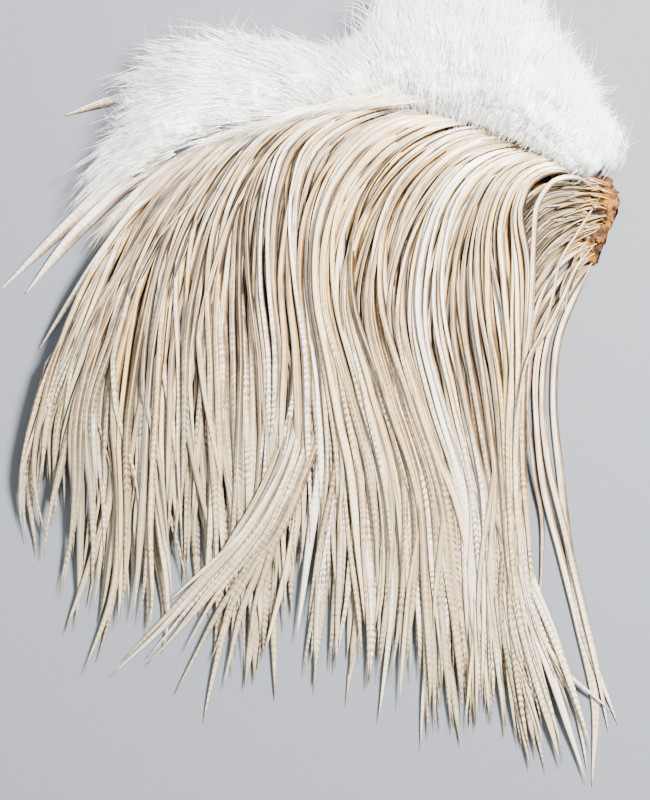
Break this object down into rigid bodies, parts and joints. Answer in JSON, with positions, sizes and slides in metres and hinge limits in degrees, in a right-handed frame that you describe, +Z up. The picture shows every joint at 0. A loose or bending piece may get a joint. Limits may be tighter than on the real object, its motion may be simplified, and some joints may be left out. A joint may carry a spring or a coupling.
{
  "type": "rooster cape",
  "caption": "Dried rooster skin with long cream hackle feathers that bend over and run down in locks, and white down along its upper edge, lying flat.",
  "frame": {"origin": "on the surface the cape lies on, under the middle of its bounding box", "axes": "+Y runs from the hackle tips to the down, +X to the right as seen from above, +Z up from the surface"},
  "size_m": [0.262, 0.35, 0.0216],
  "materials": {
    "hackle": "silky cream feather, faintly barred with tan, a pale glossy rachis down the middle",
    "under_hackle": "darker tan feather, satin",
    "down": "matte white down, loose and translucent at its edge",
    "hide": "dry yellow-brown hide, rough, with quill ends"
  },
  "bodies": {
    "root": {"skin": "hide", "cover_lock_01": "hackle", "cover_lock_02": "hackle", "cover_lock_03": "hackle", "cover_lock_04": "hackle", "cover_lock_05": "hackle", "cover_lock_06": "hackle", "cover_lock_07": "hackle", "cover_lock_08": "hackle", "cover_lock_09": "hackle", "cover_lock_10": "hackle", "cover_lock_11": "hackle", "cover_lock_12": "hackle", "cover_lock_13": "hackle", "cover_lock_14": "hackle", "cover_lock_15": "hackle", "cover_lock_16": "hackle", "cover_lock_17": "hackle", "cover_lock_18": "hackle", "under_lock_1": "under_hackle", "under_lock_2": "under_hackle", "under_lock_3": "under_hackle", "under_lock_4": "under_hackle", "under_lock_5": "under_hackle", "under_lock_6": "under_hackle", "under_lock_7": "under_hackle", "under_lock_8": "under_hackle", "hollow_lock_1": "under_hackle", "hollow_lock_2": "under_hackle", "hollow_lock_3": "under_hackle", "hollow_lock_4": "under_hackle", "crossing_lock_long": "hackle", "crossing_lock_short": "hackle", "left_hackle_upper": "hackle", "left_hackle_lower": "hackle", "short_hackle": "hackle", "right_hackle_outer": "hackle", "right_hackle_inner": "hackle", "down_plume_01": "down", "down_plume_02": "down", "down_plume_03": "down", "down_plume_04": "down", "down_plume_05": "down", "down_plume_06": "down", "down_plume_07": "down", "down_plume_08": "down", "down_plume_09": "down", "down_plume_10": "down", "down_plume_11": "down", "down_plume_12": "down", "down_plume_13": "down", "down_plume_14": "down"}
  },
  "joints": []
}
